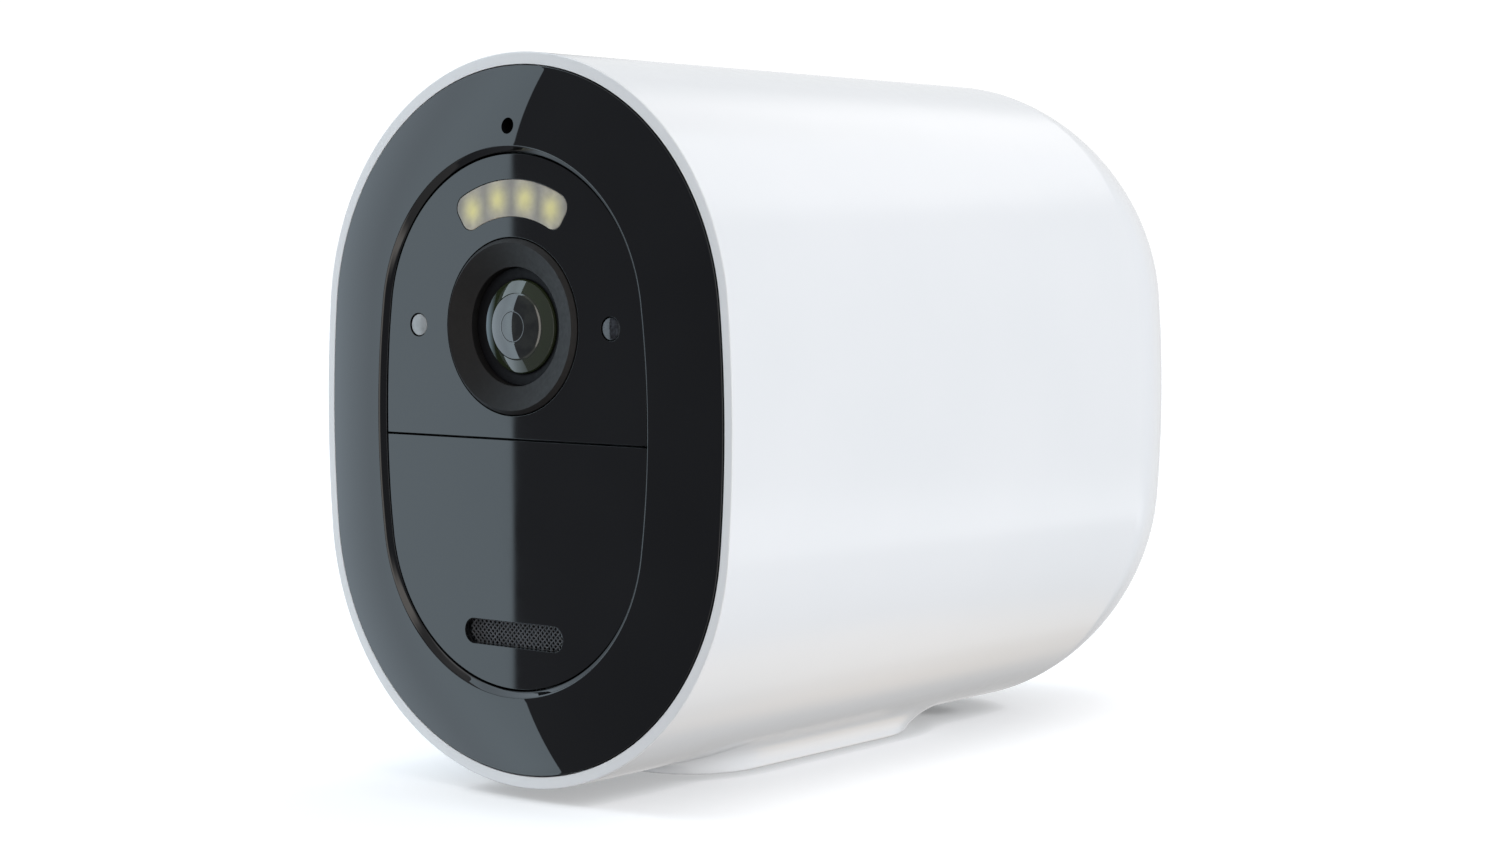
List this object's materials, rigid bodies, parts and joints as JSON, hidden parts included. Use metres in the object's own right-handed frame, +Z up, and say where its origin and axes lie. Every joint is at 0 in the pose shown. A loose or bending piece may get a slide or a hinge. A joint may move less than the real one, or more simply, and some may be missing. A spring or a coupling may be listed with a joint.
{
  "type": "floodlight security camera",
  "caption": "Battery outdoor camera: white oval sleeve on a tripod foot, sliding camera module with lens, floodlight, motion and speaker panel, battery in its tail.",
  "frame": {"origin": "under the middle of the object, on the surface that its foot stands on", "axes": "+X to the right seen from the front, +Y from the lens to the domed back, +Z up"},
  "size_m": [0.0604, 0.1126, 0.0823],
  "materials": {
    "white_plastic": "high-gloss moulded white",
    "black_gloss": "piano-black gloss",
    "black_panel": "tinted smooth black, slightly softer gloss",
    "black_matt": "fine matt black",
    "grey_plastic": "fine matt grey",
    "rubber": "soft black silicone",
    "lens_glass": "coated optical glass",
    "frosted": "frosted translucent",
    "smoked": "smoked translucent",
    "led": "yellow phosphor on a white package",
    "circuit_board": "solder mask over glass fibre",
    "steel": "bright",
    "brass": "machined",
    "card": "fine matt",
    "battery_plastic": "fine matt dark grey"
  },
  "bodies": {
    "sleeve": {"housing_shell": "white_plastic", "tripod_insert": "brass", "charge_port": "black_matt", "charge_pin_left": "brass", "charge_pin_right": "brass", "latch_pin": "steel", "latch_spring": "steel"},
    "release_button": {"latch_button": "grey_plastic"},
    "release_lever": {"latch_lever": "grey_plastic"},
    "camera_module": {"front_bezel": "black_gloss", "lens_panel": "black_panel", "motion_panel": "black_panel", "panel_carrier": "black_matt", "module_seal": "rubber", "chassis": "black_matt", "bezel_screw_1": "steel", "bezel_screw_2": "steel", "bezel_screw_3": "steel", "bezel_screw_4": "steel", "lens_trim": "black_matt", "lens_retainer": "black_matt", "lens_front_element": "lens_glass", "lens_barrel": "black_matt", "lens_rear_element": "lens_glass", "lens_mount": "black_matt", "ir_cut_coil": "brass", "image_sensor": "smoked", "sensor_board": "circuit_board", "spotlight_window": "frosted", "spotlight_led_1": "led", "spotlight_led_2": "led", "spotlight_led_3": "led", "spotlight_led_4": "led", "status_window": "frosted", "status_led": "led", "ir_window": "smoked", "ir_led": "smoked", "front_board": "circuit_board", "microphone": "steel", "speaker_mesh": "black_matt", "speaker_driver": "black_matt", "motion_sensor": "steel", "motion_sensor_board": "circuit_board", "main_board": "circuit_board", "processor_shield": "steel", "cellular_modem": "steel", "sim_socket": "steel", "memory_card_socket": "steel", "sync_switch": "steel", "cellular_antenna": "brass", "wifi_antenna": "brass", "battery_contact_block": "black_matt", "charge_contact_plate": "brass"},
    "filter_shutter": {"ir_cut_filter": "lens_glass"},
    "pairing_button": {"sync_button": "grey_plastic"},
    "sim_tray": {"sim_card": "card"},
    "memory_tray": {"memory_card": "card"},
    "battery": {"battery_pack": "battery_plastic"},
    "battery_lock": {"battery_catch": "grey_plastic"}
  },
  "joints": [
    {"name": "module_slide", "type": "slide", "parent": "sleeve", "child": "camera_module", "axis": [0, -1, 0], "range_m": [0, 0.12]},
    {"name": "latch_button_press", "type": "slide", "parent": "sleeve", "child": "release_button", "axis": [0, 0, 1], "range_m": [0, 0.0015], "stiffness_N_per_m": 700},
    {"name": "latch_lever_turn", "type": "hinge", "parent": "sleeve", "child": "release_lever", "pos_m": [0, 0.01532, 0.00615], "axis": [1, 0, 0], "range_deg": [0, 12.3], "deforming": ["latch_spring"]},
    {"name": "ir_cut_filter_slide", "type": "slide", "parent": "camera_module", "child": "filter_shutter", "axis": [1, 0, 0], "range_m": [0, 0.0052]},
    {"name": "sync_button_press", "type": "slide", "parent": "camera_module", "child": "pairing_button", "axis": [-1, 0, 0], "range_m": [0, 0.0008], "stiffness_N_per_m": 800},
    {"name": "sim_card_slide", "type": "slide", "parent": "camera_module", "child": "sim_tray", "axis": [1, 0, 0], "range_m": [0, 0.003]},
    {"name": "memory_card_slide", "type": "slide", "parent": "camera_module", "child": "memory_tray", "axis": [1, 0, 0], "range_m": [0, 0.003]},
    {"name": "battery_slide", "type": "slide", "parent": "camera_module", "child": "battery", "axis": [0, 1, 0], "range_m": [0, 0.002]},
    {"name": "battery_catch_lift", "type": "slide", "parent": "camera_module", "child": "battery_lock", "axis": [0, 0, 1], "range_m": [0, 0.002], "stiffness_N_per_m": 300}
  ],
  "couplings": [
    {"joint": "latch_lever_turn", "follows": "latch_button_press", "rad_per_m": 142.8},
    {"joint": "battery_catch_lift", "follows": "battery_slide", "ratio": 1}
  ]
}
